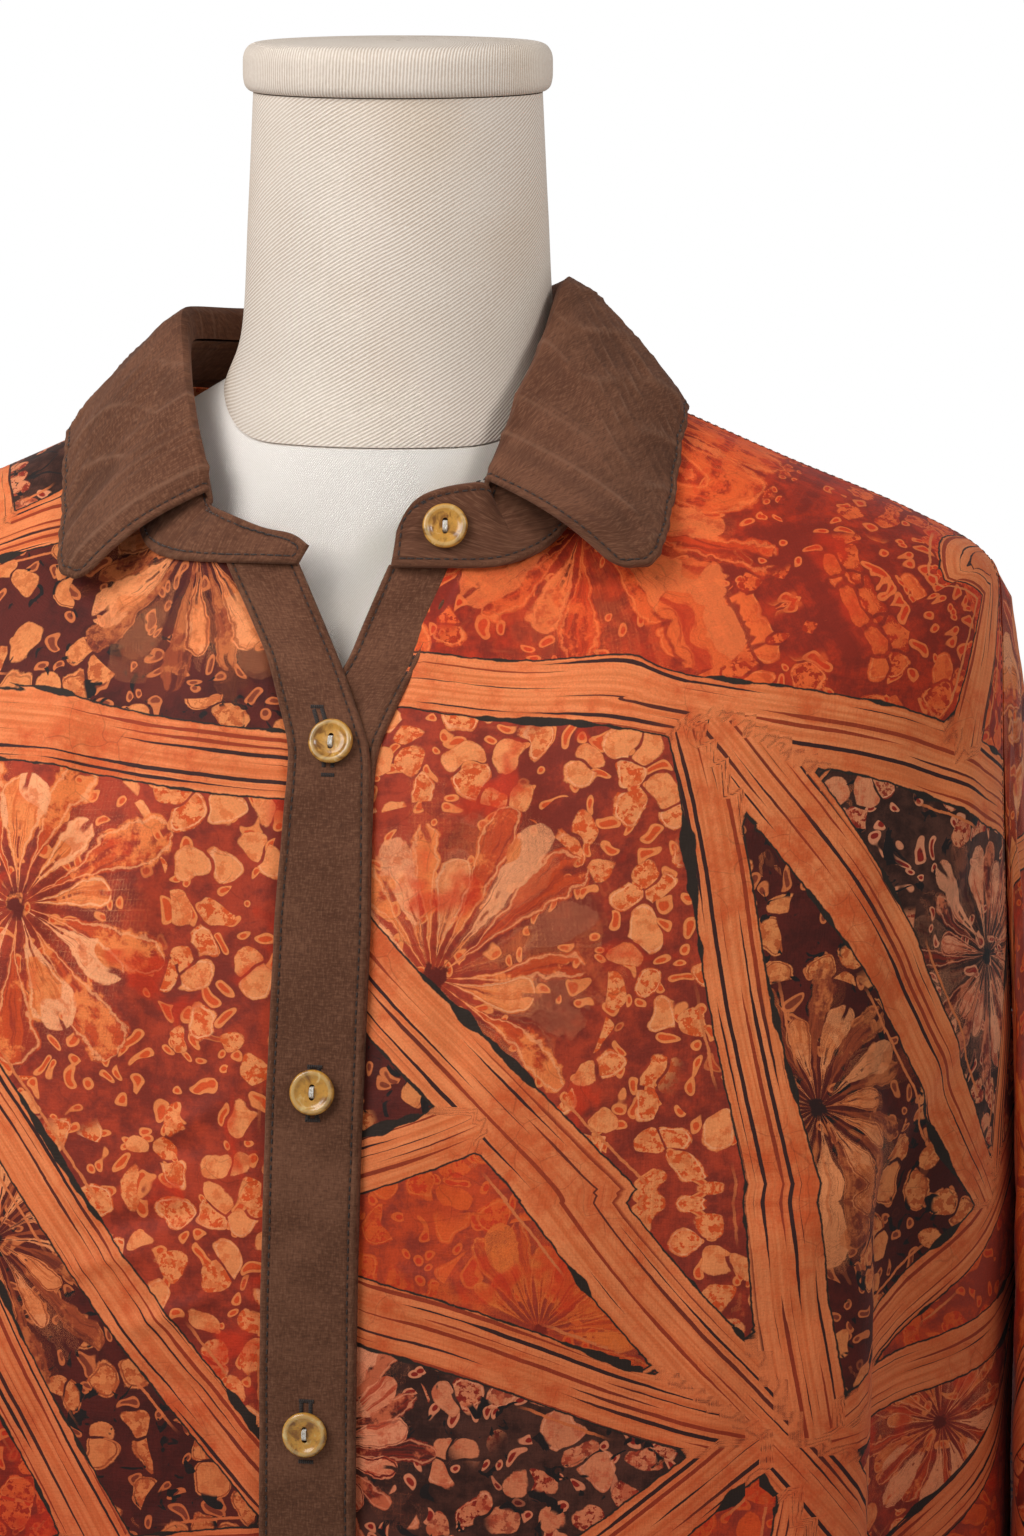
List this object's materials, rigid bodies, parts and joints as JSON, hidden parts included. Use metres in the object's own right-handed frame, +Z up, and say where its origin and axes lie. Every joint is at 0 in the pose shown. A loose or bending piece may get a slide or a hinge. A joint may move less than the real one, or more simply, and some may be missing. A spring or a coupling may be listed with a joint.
{
  "type": "batik shirt on a dress form",
  "caption": "Long-sleeved batik shirt with a brown turned-down collar and button placket, hanging empty on a limbless linen dress form with a round table stand.",
  "frame": {"origin": "middle of the underside of the stand's round base, on the surface it stands on", "axes": "+Z up, -Y towards the shirt's front, +X towards the wearer's left"},
  "size_m": [0.455, 0.3, 0.966],
  "materials": {
    "batik_cotton": "printed cotton, matte",
    "brown_cotton": "slubby cotton, matte",
    "horn_button": "polished horn",
    "linen_twill": "linen twill, matte",
    "painted_steel": "satin"
  },
  "bodies": {
    "root": {"front_left": "batik_cotton", "front_right": "batik_cotton", "back": "batik_cotton", "sleeve_left": "batik_cotton", "sleeve_right": "batik_cotton", "placket_top": "brown_cotton", "placket_under": "brown_cotton", "collar_stand": "brown_cotton", "collar_fall": "brown_cotton", "button_stand": "horn_button", "button_1": "horn_button", "button_2": "horn_button", "button_3": "horn_button", "button_4": "horn_button", "button_5": "horn_button", "button_6": "horn_button", "form_torso": "linen_twill", "form_neck": "linen_twill", "neck_cap": "linen_twill", "stand_base": "painted_steel", "stand_post": "painted_steel"}
  },
  "joints": []
}
